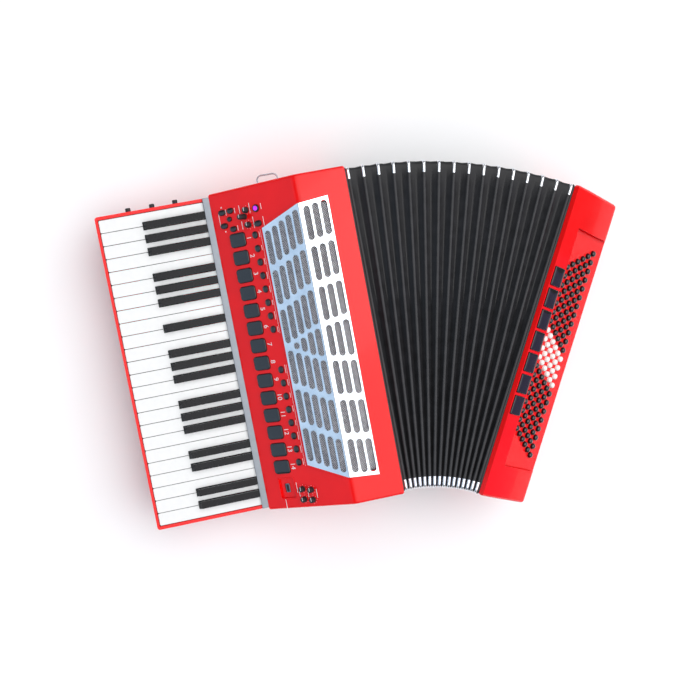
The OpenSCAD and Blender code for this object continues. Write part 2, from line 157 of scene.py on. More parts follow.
def surface(name, dark, light, rough, drift_mm, grain_mm, grain_depth_mm,
            stretch=(1, 1, 1), cells=False, **shine):
    """A finish: colour drifts from dark to light over drift_mm, with a relief of grains of grain_mm."""
    mat = bpy.data.materials.new(name)
    mat.use_nodes = True
    tree = mat.node_tree
    shader = tree.nodes["Principled BSDF"]
    shader.inputs["Coat Roughness"].default_value = 0.04
    for socket, value in shine.items():
        shader.inputs[socket.replace("_", " ").title().replace("Ior", "IOR")].default_value = value
    place = add(tree, "ShaderNodeTexCoord").outputs["Object"]
    clouds = add(tree, "ShaderNodeTexNoise", {"Vector": place, "Scale": 1000 / drift_mm, "Detail": 4.0})
    drift = clouds.outputs["Fac"]
    ramp = add(tree, "ShaderNodeValToRGB", {"Fac": drift})
    for element, position, colour in zip(ramp.color_ramp.elements, (0.35, 0.65), (dark, light)):
        element.position = position
        element.color = linear(colour)
    gloss = add(tree, "ShaderNodeMapRange", {"Value": drift, "From Min": 0.3, "From Max": 0.7,
                                             "To Min": rough[0], "To Max": rough[1]})
    scale = [1000 / grain_mm / s for s in stretch]
    spread = add(tree, "ShaderNodeMapping", {"Vector": place, "Scale": scale})
    kind, height = ("ShaderNodeTexVoronoi", "Distance") if cells else ("ShaderNodeTexNoise", "Fac")
    grain = add(tree, kind, {"Vector": spread.outputs["Vector"], "Scale": 1.0})
    relief = add(tree, "ShaderNodeBump", {"Height": grain.outputs[height], "Distance": grain_depth_mm * MM})
    tree.links.new(ramp.outputs["Color"], shader.inputs["Base Color"])
    tree.links.new(gloss.outputs["Result"], shader.inputs["Roughness"])
    tree.links.new(relief.outputs["Normal"], shader.inputs["Normal"])
    return mat


# Sprayed and polished clear-coated lacquer: deep colour, sharp reflections, faint orange peel.
RED = surface("red_lacquer", "#EC0306", "#F40507", (0.18, 0.26), 60, 2.2, 0.004,
              specular_ior_level=0.25, coat_weight=0.25)
# Moulded glossy ABS of the registers and small buttons: near-black with soft swirls.
BLACK_GLOSS = surface("black_gloss_abs", "#0B0B0E", "#121217", (0.08, 0.14), 9, 0.8, 0.002,
                      coat_weight=0.6)
# Moulded black keys, buffed to a low sheen by the fingers.
BLACK_KEY = surface("black_key_abs", "#0C0C10", "#141419", (0.2, 0.3), 9, 0.8, 0.002,
                    specular_ior_level=0.22)
# Moulded white keys: even, opaque acrylic with a polish; the marker buttons are a shade warmer and lighter.
KEY_WHITE = surface("white_key_acrylic", "#E6E6E5", "#E9E9E8", (0.16, 0.24), 9, 0.8, 0.002,
                    coat_weight=0.5)
MARKER_WHITE = surface("white_button_acrylic", "#F1EFEA", "#F8F7F4", (0.12, 0.18), 6, 0.8, 0.002,
                       coat_weight=0.5)
# Spark-eroded mould texture on covers and knobs: fine, even, dull. The rubber feet are duller still.
BLACK_MATTE = surface("black_textured_abs", "#17171A", "#202024", (0.42, 0.6), 4, 0.5, 0.02)
RUBBER = surface("black_rubber", "#101012", "#18181A", (0.6, 0.75), 4, 0.7, 0.03,
                 specular_ior_level=0.3)
# Anodised aluminium strip, brushed along its length: 0.35 mm scratches spread the reflection into a band.
ALUMINIUM = surface("brushed_anodised_aluminium", "#7B8087", "#8D9299", (0.34, 0.5), 20, 0.35, 0.006,
                    stretch=(1, 40, 1), metallic=1.0)
STEEL = surface("brushed_steel", "#8A8C94", "#A4A7AE", (0.24, 0.36), 12, 0.35, 0.006,
                stretch=(1, 1, 30), metallic=1.0)
# Chromed pressed plate: nearly a mirror, with faint waviness from the press. Clips, mesh and loops are
# plated too: bright nickel, dull zinc and a darker bent wire.
CHROME = surface("chromed_grille_plate", "#D9DEE4", "#E8ECF0", (0.08, 0.18), 25, 6, 0.003, metallic=1.0)
CLIP = surface("nickel_corner_metal", "#E2E6EC", "#F3F5F8", (0.16, 0.3), 8, 3, 0.004, metallic=1.0)
MESH_WIRE = surface("galvanised_mesh_wire", "#B0AEB4", "#D8D6DA", (0.28, 0.45), 5, 0.6, 0.01,
                    metallic=1.0)
LOOP_WIRE = surface("plated_bent_wire", "#8F8E96", "#A9A8B0", (0.15, 0.28), 8, 3, 0.003, metallic=1.0)
# Coated cloth tape on the ridges and leatherette on the folds: pebbled grain, dull sheen.
RIDGE_CLOTH = surface("grey_edge_tape", "#333335", "#3C3C3E", (0.45, 0.6), 14, 0.8, 0.12,
                      cells=True, specular_ior_level=0.3, sheen_weight=0.03)
FOLD_CLOTH = surface("black_bellows_leatherette", "#18181A", "#1F1F22", (0.34, 0.5), 14, 1.3, 0.12,
                     cells=True, specular_ior_level=0.3, sheen_weight=0.03)
# Vegetable-tanned strap leather with a coarser pebble, and waxed thread.
STRAP_LEATHER = surface("black_strap_leather", "#141416", "#1E1E21", (0.4, 0.62), 14, 1.6, 0.16,
                        cells=True, specular_ior_level=0.35, sheen_weight=0.05)
THREAD = surface("grey_waxed_thread", "#4A4A4D", "#5C5C60", (0.5, 0.7), 3, 0.5, 0.05,
                 specular_ior_level=0.3)
# Solder-masked fibreglass boards, speaker felt, screen-printed white ink and the lens of the lit button.
BOARD = surface("green_fibreglass_board", "#0B4A26", "#0E5A2E", (0.3, 0.45), 6, 1.0, 0.02)
FELT = surface("grey_speaker_felt", "#1A181B", "#242226", (0.8, 0.95), 5, 0.6, 0.15, sheen_weight=0.2)
LABEL = surface("white_screen_print", "#E9E4E6", "#F2EEF0", (0.4, 0.5), 4, 0.5, 0.004)
LENS = surface("lit_magenta_lens", "#A818E8", "#C828F8", (0.2, 0.3), 3, 1.0, 0.004, coat_weight=0.5,
               emission_color=linear("#B81CF0"), emission_strength=0.75)


# ---- Geometry node layouts of what repeats ----
def new_object(name, data):
    """An object of the data, linked to the scene."""
    obj = bpy.data.objects.new(name, data)
    bpy.context.scene.collection.objects.link(obj)
    return obj


def layout_tree(name, sizes):
    """A node tree with a geometry input and the named sizes; returns it and its input sockets by name."""
    tree = bpy.data.node_groups.new(name, "GeometryNodeTree")
    for label, kind in [("Geometry", "Geometry")] + sizes:
        tree.interface.new_socket(label, in_out="INPUT", socket_type="NodeSocket" + kind)
    tree.interface.new_socket("Geometry", in_out="OUTPUT", socket_type="NodeSocketGeometry")
    return tree, add(tree, "NodeGroupInput").outputs


def end_tree(tree, geometry, finish):
    """Ends a tree in plain meshes with their material."""
    real = add(tree, "GeometryNodeRealizeInstances", {"Geometry": geometry})
    done = add(tree, "GeometryNodeSetMaterial", {"Geometry": real.outputs["Geometry"], "Material": finish})
    add(tree, "NodeGroupOutput", {"Geometry": done.outputs["Geometry"]})
    return tree


def button_rows_tree():
    """Rows of caps along Y, each row longer by Growth; one band of columns can be kept or left out."""
    tree, given = layout_tree("button_rows", [
        ("Rows", "Int"), ("First Row", "Int"), ("Growth", "Int"), ("Pitch", "Float"),
        ("Row Pitch", "Float"), ("Band From", "Int"), ("Band To", "Int"), ("Band Only", "Float"),
        ("Cap", "Object"), ("Finish", "Material")])
    maths = "ShaderNodeMath"
    # One slot for each column of the longest row, in every row.
    added_rows = add(tree, maths, {0: given["Rows"], 1: 1.0}, operation="SUBTRACT").outputs[0]
    growth = add(tree, maths, {0: given["Growth"], 1: added_rows}, operation="MULTIPLY").outputs[0]
    widest = add(tree, maths, {0: given["First Row"], 1: growth}, operation="ADD").outputs[0]
    total = add(tree, maths, {0: widest, 1: given["Rows"]}, operation="MULTIPLY").outputs[0]
    slots = add(tree, "GeometryNodeMeshLine", {"Count": total})
    # Row and column of each slot.
    index = add(tree, "GeometryNodeInputIndex").outputs["Index"]
    centred = add(tree, maths, {0: index, 1: 0.5}, operation="ADD").outputs[0]
    row_share = add(tree, maths, {0: centred, 1: widest}, operation="DIVIDE").outputs[0]
    row = add(tree, maths, {0: row_share}, operation="FLOOR").outputs[0]
    before_row = add(tree, maths, {0: row, 1: widest}, operation="MULTIPLY").outputs[0]
    column = add(tree, maths, {0: index, 1: before_row}, operation="SUBTRACT").outputs[0]
    # Each row is centred on the Y axis.
    row_growth = add(tree, maths, {0: row, 1: given["Growth"]}, operation="MULTIPLY").outputs[0]
    in_row = add(tree, maths, {0: given["First Row"], 1: row_growth}, operation="ADD").outputs[0]
    last = add(tree, maths, {0: in_row, 1: 1.0}, operation="SUBTRACT").outputs[0]
    middle = add(tree, maths, {0: last, 1: 2.0}, operation="DIVIDE").outputs[0]
    from_middle = add(tree, maths, {0: column, 1: middle}, operation="SUBTRACT").outputs[0]
    across = add(tree, maths, {0: row, 1: given["Row Pitch"]}, operation="MULTIPLY").outputs[0]
    along = add(tree, maths, {0: from_middle, 1: given["Pitch"]}, operation="MULTIPLY").outputs[0]
    spot = add(tree, "ShaderNodeCombineXYZ", {"X": across, "Y": along})
    placed = add(tree, "GeometryNodeSetPosition", {"Geometry": slots.outputs["Mesh"],
                                                   "Position": spot.outputs[0]})
    # Slots past the row's end go, and so do those outside or inside the band.
    row_end = add(tree, maths, {0: last, 1: 0.5}, operation="ADD").outputs[0]
    beyond = add(tree, maths, {0: column, 1: row_end}, operation="GREATER_THAN").outputs[0]
    band_start = add(tree, maths, {0: given["Band From"], 1: 0.5}, operation="SUBTRACT").outputs[0]
    band_end = add(tree, maths, {0: given["Band To"], 1: 0.5}, operation="ADD").outputs[0]
    past_start = add(tree, maths, {0: column, 1: band_start}, operation="GREATER_THAN").outputs[0]
    before_end = add(tree, maths, {0: column, 1: band_end}, operation="LESS_THAN").outputs[0]
    in_band = add(tree, maths, {0: past_start, 1: before_end}, operation="MULTIPLY").outputs[0]
    mismatch = add(tree, maths, {0: in_band, 1: given["Band Only"]}, operation="SUBTRACT").outputs[0]
    unwanted = add(tree, maths, {0: mismatch}, operation="ABSOLUTE").outputs[0]
    dropped = add(tree, maths, {0: beyond, 1: unwanted}, operation="MAXIMUM").outputs[0]
    kept = add(tree, "GeometryNodeDeleteGeometry", {"Geometry": placed.outputs["Geometry"],
                                                    "Selection": dropped}, domain="POINT")
    cap = add(tree, "GeometryNodeObjectInfo", {"Object": given["Cap"]})
    caps = add(tree, "GeometryNodeInstanceOnPoints", {"Points": kept.outputs["Geometry"],
                                                      "Instance": cap.outputs["Geometry"]})
    return end_tree(tree, caps.outputs["Instances"], given["Finish"])


def dial_ticks_tree():
    """Ticks fanned about the origin over Sweep radians."""
    tree, given = layout_tree("dial_ticks", [("Ticks", "Int"), ("Sweep", "Float"), ("Radius", "Float"),
                                             ("Tick", "Object"), ("Finish", "Material")])
    line = add(tree, "GeometryNodeMeshLine", {"Count": given["Ticks"]})
    index = add(tree, "GeometryNodeInputIndex").outputs["Index"]
    steps = add(tree, "ShaderNodeMath", {0: given["Ticks"], 1: 1.0}, operation="SUBTRACT").outputs[0]
    share = add(tree, "ShaderNodeMath", {0: index, 1: steps}, operation="DIVIDE").outputs[0]
    centred = add(tree, "ShaderNodeMath", {0: share, 1: 0.5}, operation="SUBTRACT").outputs[0]
    angle = add(tree, "ShaderNodeMath", {0: centred, 1: given["Sweep"]}, operation="MULTIPLY").outputs[0]
    turn = add(tree, "ShaderNodeCombineXYZ", {"Z": angle})
    arm = add(tree, "ShaderNodeCombineXYZ", {"X": given["Radius"]})
    spot = add(tree, "ShaderNodeVectorRotate", {"Vector": arm.outputs[0], "Rotation": turn.outputs[0]},
               rotation_type="EULER_XYZ")
    placed = add(tree, "GeometryNodeSetPosition", {"Geometry": line.outputs["Mesh"],
                                                   "Position": spot.outputs[0]})
    tick = add(tree, "GeometryNodeObjectInfo", {"Object": given["Tick"]})
    ticks = add(tree, "GeometryNodeInstanceOnPoints", {"Points": placed.outputs["Geometry"],
                                                       "Instance": tick.outputs["Geometry"],
                                                       "Rotation": turn.outputs[0]})
    return end_tree(tree, ticks.outputs["Instances"], given["Finish"])


def wires_tree():
    """Round wires along the edges of the host mesh."""
    tree, given = layout_tree("woven_wires", [("Wire Radius", "Float"), ("Sides", "Int"),
                                              ("Finish", "Material")])
    runs = add(tree, "GeometryNodeMeshToCurve", {"Mesh": given["Geometry"]})
    ring = add(tree, "GeometryNodeCurvePrimitiveCircle", {"Resolution": given["Sides"],
                                                          "Radius": given["Wire Radius"]})
    wires = add(tree, "GeometryNodeCurveToMesh", {"Curve": runs.outputs["Curve"], "Fill Caps": True,
                                                  "Profile Curve": ring.outputs["Curve"]})
    return end_tree(tree, wires.outputs["Mesh"], given["Finish"])


def laid_out(tree, values, host=None):
    """The plain mesh that a layout tree makes with the given input values."""
    holder = new_object(tree.name, host or bpy.data.meshes.new(tree.name))
    modifier = holder.modifiers.new("layout", "NODES")
    modifier.node_group = tree
    for item in tree.interface.items_tree:
        if item.in_out == "INPUT" and item.name in values:
            modifier[item.identifier] = values[item.name]
    bpy.context.view_layer.update()
    depsgraph = bpy.context.evaluated_depsgraph_get()
    mesh = bpy.data.meshes.new_from_object(holder.evaluated_get(depsgraph), depsgraph=depsgraph)
    holder.modifiers.remove(modifier)
    bpy.data.objects.remove(holder)
    return mesh


def pattern_shape(name, verts, faces):
    """A small object that a layout tree repeats."""
    mesh = bpy.data.meshes.new(name)
    mesh.from_pydata([tuple(v) for v in verts], [], faces)
    return new_object(name, mesh)


# ---- Mesh helpers ----
def piece(name, verts, faces, mat, body, slot, matrix=None, smooth=True, sharp=35):
    """A closed mesh piece that rides on a body; verts in the local frame of matrix."""
    mesh = bpy.data.meshes.new(name)
    mesh.from_pydata([tuple(v) for v in verts], [], faces)
    finish_mesh(mesh, matrix, smooth, sharp)
    obj = new_object(name, mesh)
    mesh.materials.append(mat)
    if body:
        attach(obj, body)
    return obj


def finish_mesh(mesh, matrix=None, smooth=True, sharp=35):
    """Moves the mesh, turns its faces outward and marks edges over sharp degrees."""
    if matrix is not None:
        mesh.transform(matrix)
    bm = bmesh.new()
    bm.from_mesh(mesh)
    bmesh.ops.recalc_face_normals(bm, faces=bm.faces)
    limit = math.radians(sharp)
    for face in bm.faces:
        face.smooth = smooth
    for edge in bm.edges:
        if len(edge.link_faces) == 2 and edge.calc_face_angle(0) > limit:
            edge.smooth = False
    bm.to_mesh(mesh)
    bm.free()
    mesh.update()


def loops_to_faces(count, rings):
    """Quads between rings of count points each, and a cap on the first and last ring."""
    faces = []
    for ring in range(rings - 1):
        first = ring * count
        for i in range(count):
            j = (i + 1) % count
            faces.append((first + i, first + j, first + count + j, first + count + i))
    faces.append(tuple(reversed(range(count))))
    faces.append(tuple(range((rings - 1) * count, rings * count)))
    return faces


def rounded_outline(width, length, radius, steps=5):
    """Corner-rounded rectangle, width along X and length along Y."""
    points = []
    for corner in range(4):
        centre_x = (width / 2 - radius) * (1 if corner in (0, 3) else -1)
        centre_y = (length / 2 - radius) * (1 if corner in (0, 1) else -1)
        for i in range(steps + 1):
            angle = math.pi / 2 * (corner + i / steps)
            points.append((centre_x + radius * math.cos(angle), centre_y + radius * math.sin(angle)))
    return points


def cap_solid(width, length, radius, low, high, edge, dome=0.0, steps=5):
    """A button: rounded prism from low to high with a rounded upper edge and a slightly crowned top."""
    half = min(width, length) / 2
    levels = [(0, low, radius), (0, high - edge, radius)]
    for angle in (0.4, 0.8, 1.2, math.pi / 2):
        inset = edge * (1 - math.cos(angle))
        levels.append((inset, high - edge + edge * math.sin(angle), max(radius - inset, radius * 0.2)))
    for share in (0.35, 0.7):
        inset = edge + (half - edge) * share
        z = high + dome * (1 - (1 - share) ** 2)
        levels.append((inset, z, max(radius - inset, (half - inset) * 0.5)))
    verts = []
    for inset, z, corner in levels:
        outline = rounded_outline(width - 2 * inset, length - 2 * inset, corner, steps)
        verts += [(x, y, z) for x, y in outline]
    return verts, loops_to_faces(len(verts) // len(levels), len(levels))


def merge(shapes):
    """Joins (verts, faces, matrix) shapes into one verts and faces list."""
    verts, faces = [], []
    for part_verts, part_faces, matrix in shapes:
        base = len(verts)
        verts += [matrix @ Vector(v) for v in part_verts]
        faces += [tuple(base + i for i in f) for f in part_faces]
    return verts, faces


def revolve(profile, steps=32, flutes=0, flute_depth=0.0):
    """A solid of revolution about Z from (radius, z) points, bottom to top."""
    verts = []
    for radius, z in profile:
        for i in range(steps):
            angle = 2 * math.pi * i / steps
            fluted = flutes and radius > flute_depth * 3
            dip = flute_depth * (0.5 + 0.5 * math.cos(flutes * angle)) if fluted else 0.0
            verts.append(((radius - dip) * math.cos(angle), (radius - dip) * math.sin(angle), z))
    return verts, loops_to_faces(steps, len(profile))


def sharp_edges(bm):
    """The edges between two faces that meet at more than the sharp angle."""
    return [e for e in bm.edges if len(e.link_faces) == 2 and e.calc_face_angle(0) > SHARP_ANGLE]


def bevelled(node, mat, width, body, wide=0.0, wide_test=None):
    """A copy of a CAD node with rounded edges; wide_test picks the edges that get the wide radius."""
    name = node + "_shell"
    source = frame["nodes"][node]
    bm = bmesh.new()
    bm.from_mesh(source.data)
    bm.transform(source.matrix_world)
    bmesh.ops.remove_doubles(bm, verts=bm.verts, dist=WELD)
    bmesh.ops.dissolve_limit(bm, angle_limit=FLAT_ANGLE, verts=bm.verts, edges=bm.edges)
    if wide_test:
        chosen = [e for e in sharp_edges(bm) if wide_test(e)]
        if chosen:
            bmesh.ops.bevel(bm, geom=chosen, offset=wide, segments=4, profile=0.5, affect="EDGES")
    bmesh.ops.bevel(bm, geom=sharp_edges(bm), offset=width, segments=2, profile=0.5, affect="EDGES",
                    clamp_overlap=True)
    mesh = bpy.data.meshes.new(name)
    bm.to_mesh(mesh)
    bm.free()
    finish_mesh(mesh, sharp=32)
    obj = even_normals(mesh, name)
    obj.data.materials.append(mat)
    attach(obj, body)
    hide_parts(node)


def even_normals(mesh, name):
    """An object of the mesh with its shading normals led by the large faces, so flat panels shade flat."""
    draft = new_object(name + "_draft", mesh)
    weights = draft.modifiers.new("normals", "WEIGHTED_NORMAL")
    weights.keep_sharp = True
    weights.weight = 90
    bpy.context.view_layer.update()
    depsgraph = bpy.context.evaluated_depsgraph_get()
    result = bpy.data.meshes.new_from_object(draft.evaluated_get(depsgraph))
    bpy.data.objects.remove(draft)
    result.name = name
    return new_object(name, result)


def dress(node, mat):
    """Gives a carried-over CAD node its material."""
    mesh = frame["nodes"][node].data
    mesh.materials.clear()
    mesh.materials.append(mat)


# ---- Treble side ----
def on_end_plane(a, b, low, high):
    """Tests that both points lie on the same one of two end planes, with one of them off the back."""
    same = any(abs(a.y - y) < PLANE_MARGIN and abs(b.y - y) < PLANE_MARGIN for y in (low, high))
    return same and max(a.z, b.z) > ABOVE_BACK


def treble_case_edge(edge):
    """Tests for an edge along the outline of the treble case's end walls."""
    return on_end_plane(edge.verts[0].co, edge.verts[1].co, CASE_LO[1], CASE_HI[1])


def treble_shells():
    """The treble side's rounded cases, covers, strips and feet, and the socket."""
    bevelled("treble_case", RED, 0.5 * MM, "treble", 4 * MM, treble_case_edge)
    bevelled("treble_back_cover", BLACK_MATTE, 0.6 * MM, "treble")
    bevelled("keyboard_bed", RED, 0.9 * MM, "treble")
    bevelled("finger_strip", ALUMINIUM, 0.8 * MM, "treble")
    bevelled("treble_feet", RUBBER, 1.2 * MM, "treble")
    bevelled("strap_loops", LOOP_WIRE, 0.3 * MM, "treble")
    bevelled("usb_socket", RED, 0.4 * MM, "treble")
    socket_port()


def socket_port():
    """The metal shell of the socket with its dark tongue, in the middle of the red recess."""
    place = on_slope(40 * MM, -213 * MM)
    shell = cap_solid(6.6 * MM, 13.6 * MM, 1.2 * MM, -3.6 * MM, -1.6 * MM, 0.3 * MM)
    piece("socket_shell", shell[0], shell[1], STEEL, "treble", "steel", place)
    tongue = cap_solid(4.6 * MM, 11.6 * MM, 0.6 * MM, -3.0 * MM, -1.5 * MM, 0.05 * MM)
    piece("socket_tongue", tongue[0], tongue[1], BLACK_MATTE, "treble", "steel", place)


def key_corner(edge):
    """Tests for an upright edge at the free end of a white key."""
    a, b = edge.verts[0].co, edge.verts[1].co
    free_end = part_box("white_keys_1")[0][0] + 1 * MM
    return max(a.x, b.x) < free_end and abs(a.z - b.z) > 4 * MM and abs(a.y - b.y) < 1 * MM


def keys():
    """The four groups of white keys and the four of black keys."""
    for g in range(1, 5):
        bevelled(f"white_keys_{g}", KEY_WHITE, 0.6 * MM, f"white_key_group_{g}",
                 1.8 * MM, key_corner)
        bevelled(f"black_keys_{g}", BLACK_KEY, 0.9 * MM, f"black_key_group_{g}")


def grille():
    """The slotted plate, the wire mesh under it and the black backing."""
    bevelled("grille_plate", CHROME, 0.35 * MM, "treble")
    wire_mesh()
    mesh_backing()


def wire_mesh():
    """Two families of crossing wires behind the slots, 3.5 mm apart and folded like the panel."""
    pitch, half_y, drop, front = 3.5 * MM, 200 * MM, 65 * MM, 40 * MM
    narrowing = 24 * MM
    points, edges = [], []
    for family in (1, -1):
        lift = 0.6 * MM + family * 0.15 * MM
        for n in range(-int((drop + 2 * half_y) / pitch), int((front + 2 * half_y) / pitch)):
            run = [(x, family * (x - n * pitch - half_y)) for x in
                   [-drop + (drop + front) * i / 30 for i in range(31)] + [0.0]]
            kept = [spot for spot in sorted(run)
                    if abs(spot[1]) <= half_y - max(0.0, -spot[0]) / drop * narrowing]
            if len(kept) < 2:
                continue
            corners = [kept[0]] + [spot for spot in kept[1:-1] if spot[0] == 0.0] + [kept[-1]]
            edges += [(len(points) + i, len(points) + i + 1) for i in range(len(corners) - 1)]
            points += [on_panel(x, y, lift) for x, y in corners]
    runs = bpy.data.meshes.new("wire_runs")
    runs.from_pydata([tuple(p) for p in points], edges, [])
    mesh = laid_out(WOVEN_WIRES, {"Wire Radius": 0.48 * MM, "Sides": 5, "Finish": MESH_WIRE}, runs)
    obj = piece("grille_wire_mesh", *shape_of(mesh), MESH_WIRE, "treble", "steel", sharp=60)
    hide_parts("grille_mesh")


def mesh_backing():
    """The black backing behind the wire mesh, bent at the fold."""
    outline = [(-65, -176), (0, -200), (40, -200), (40, 200), (0, 200), (-65, 176)]
    verts = [on_panel(x * MM, y * MM, h * MM) for h in (0.02, 0.08) for x, y in outline]
    faces = [(5, 4, 1, 0), (4, 3, 2, 1), (6, 7, 10, 11), (7, 8, 9, 10)]
    faces += [(i, (i + 1) % 6, 6 + (i + 1) % 6, 6 + i) for i in range(6)]
    piece("grille_backing", verts, faces, FELT, "treble", "matte_black", smooth=False)


def on_panel(x, y, h):
    """Place on the folded front: x from the fold line, positive on the front face, h out of the panel."""
    if x >= 0:
        return Vector((x - FRONT_W, y, CASE_HIGH + h))
    return on_slope(SLOPE_LEN + x, y, h).translation


def shape_of(mesh):
    """Vertices and faces of a mesh, for joining."""
    return [v.co.copy() for v in mesh.vertices], [tuple(f.vertices) for f in mesh.polygons]


def cap_rows(name, node, body, slot, finish, cap, layouts):
    """Rows of one cap on one moving body; layouts are (place, input values)."""
    sample = pattern_shape(name + "_cap", *cap)
    shapes = []
    for place, values in layouts:
        plain = {"Rows": 1, "Growth": 0, "Row Pitch": 0.0, "Band From": 0, "Band To": -1, "Band Only": 0.0}
        mesh = laid_out(BUTTON_ROWS, {**plain, "Cap": sample, "Finish": finish, **values})
        shapes.append((*shape_of(mesh), place))
    bpy.data.objects.remove(sample)
    obj = piece(name, *merge(shapes), finish, body, slot)
    if node:
        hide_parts(node)


def single_caps(name, node, body, slot, finish, places, low, high, edge, dome):
    """Round or oval caps of different sizes: places are (s, y, width, length) on the slope, in mm."""
    shapes = []
    for s, y, width, length in places:
        radius = min(width, length) / 2 * MM * 0.999
        verts, faces = cap_solid(width * MM, length * MM, radius, low, high, edge, dome)
        shapes.append((verts, faces, on_slope(s * MM, y * MM)))
    obj = piece(name, *merge(shapes), finish, body, slot)
    if node:
        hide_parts(node)


BUTTON_ROWS = button_rows_tree()
DIAL_TICKS = dial_ticks_tree()
WOVEN_WIRES = wires_tree()
# Buttons of the menu group as (s, y, width, length) and knobs as (s, y), all in mm on the slope.
MENU = [(19, 213.5, 12, 8), (19, 193.5, 12, 8), (34, 214, 11, 8), (34, 186.5, 11, 8), (30, 202, 7.5, 7.5),
        (78, 187, 12, 8.5)]
LIGHT = (79, 209.5, 11, 11)
LEVELS = [(62, 210), (62, 188), (67, -215.5), (82, -217.5), (67, -231.5), (82, -233)]
EDIT = (57, 201)


def treble_buttons():
    """Register, memory and menu buttons, and the lit button."""
    register = cap_solid(27 * MM, 21 * MM, 4.5 * MM, -3.5 * MM, 2.2 * MM, 1.2 * MM, 0.7 * MM)
    middle = (REGISTER_YS[0] + REGISTER_YS[-1]) / 2
    cap_rows("register_caps", "treble_registers", "treble_register_group", "black_gloss", BLACK_GLOSS,
             register,
             [(on_slope(38 * MM, middle), {"First Row": 14, "Pitch": REGISTER_PITCH})])
    memory = cap_solid(8.5 * MM, 10.5 * MM, 4.2 * MM, -3.5 * MM, 2.6 * MM, 0.9 * MM, 0.6 * MM, 4)
    cap_rows("memory_caps", "memory_buttons", "memory_button_group", "black_gloss", BLACK_GLOSS, memory,
             [(on_slope(69.5 * MM, (MEMORY_YS[i] + MEMORY_YS[i + 7]) / 2),
               {"First Row": 8, "Pitch": MEMORY_PITCH}) for i in (0, 8)])
    single_caps("menu_caps", "menu_buttons", "menu_button_group", "black_gloss", BLACK_GLOSS, MENU,
                -3.5 * MM, 2.6 * MM, 0.9 * MM, 0.6 * MM)
    s, y, width, length = LIGHT
    rim = 4
    single_caps("lit_cap_ring", None, "menu_button_group", "black_gloss", BLACK_GLOSS, [LIGHT],
                -3.5 * MM, 2.2 * MM, 0.9 * MM, 0.2 * MM)
    single_caps("lit_cap_lens", None, "menu_button_group", "black_gloss", LENS,
                [(s, y, width - rim, length - rim)], 1.5 * MM, 2.9 * MM, 0.6 * MM, 0.4 * MM)


def end_caps():
    """Three round buttons standing out of the keyboard's chin end rail."""
    shapes = []
    bed_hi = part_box("keyboard_bed")[1]
    lo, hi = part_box("end_buttons")
    button = revolve([(3.9 * MM, 0), (4 * MM, 0.3 * MM), (4 * MM, 8.6 * MM), (3.7 * MM, 9.2 * MM),
                      (3.0 * MM, 9.5 * MM), (1.2 * MM, 9.6 * MM)], 28)
    for x in END_BUTTON_XS:
        place = Matrix.Translation((x, bed_hi[1] - 3 * MM, (lo[2] + hi[2]) / 2))
        shapes.append((*button, place @ Matrix.Rotation(-math.pi / 2, 4, "X")))
    verts, faces = merge(shapes)
    obj = piece("end_button_caps", verts, faces, BLACK_MATTE, "end_button_group", "matte_black")
    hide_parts("end_buttons")


def knob(name, node, body, s, y, radius, height):
    """A fluted knob with a white pointer line, on its stem."""
    profile = [(2.9 * MM, -5 * MM), (2.9 * MM, 0.3 * MM), (radius, 0.4 * MM), (radius, 1.1 * MM),
               (radius - 0.45 * MM, 1.4 * MM), (radius - 0.6 * MM, height - 0.8 * MM),
               (radius - 1.2 * MM, height - 0.15 * MM), (radius * 0.5, height), (radius * 0.15, height)]
    verts, faces = revolve(profile, 60, 15, 0.28 * MM)
    obj = piece(name, verts, faces, BLACK_MATTE, body, "matte_black", on_slope(s, y), sharp=50)
    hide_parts(node)
    pointer = cap_solid(0.9 * MM, radius * 1.1, 0.2 * MM, height - 0.4 * MM, height + 0.12 * MM, 0.08 * MM)
    piece(name + "_pointer", pointer[0], pointer[1], LABEL, body, "white_gloss",
          on_slope(s, y) @ Matrix.Translation((0, radius * 0.3, 0)))


def knobs():
    """The tall edit knob and the six low ones."""
    knob("edit_knob_cap", "edit_knob", "edit_knob_body", EDIT[0] * MM, EDIT[1] * MM, 4.5 * MM, 16 * MM)
    for i, (s, y) in enumerate(LEVELS, 1):
        knob(f"level_knob_cap_{i}", f"level_knob_{i}", f"level_knob_body_{i}", s * MM, y * MM,
             4.75 * MM, 7.3 * MM)


PRINT_THICK = 0.06 * MM
# Plain bars in place of printed words, as (s, y, length) in mm on the slope.
BARS = ((12, 203, 22), (25.5, 213, 9), (41.5, 213, 8), (41.5, 187, 8), (50, 213, 12),
        (50, 189, 12), (68, 212, 15), (70.5, 190, 17), (88, 189, 14), (88, 211, 9),
        (60, -222, 10), (75, -224, 10), (90, -224, 14), (57, -213, 16), (33, -236, 16))


def flat_label(shapes, s, y, width, length):
    """Adds a thin printed bar."""
    verts, faces = cap_solid(width, length, min(width, length) * 0.2, 0.0, PRINT_THICK, 0.02 * MM)
    shapes.append((verts, faces, on_slope(s, y)))


def triangle_label(shapes, s, y, size, way):
    """Adds a printed arrow; way is 1 towards the chin end and -1 towards the foot."""
    flat = [(0, way * size), (-way * size, -way * size * 0.6), (way * size, -way * size * 0.6)]
    verts = [(a, b, z) for z in (0, PRINT_THICK) for a, b in flat]
    shapes.append((verts, loops_to_faces(3, 2), on_slope(s, y)))


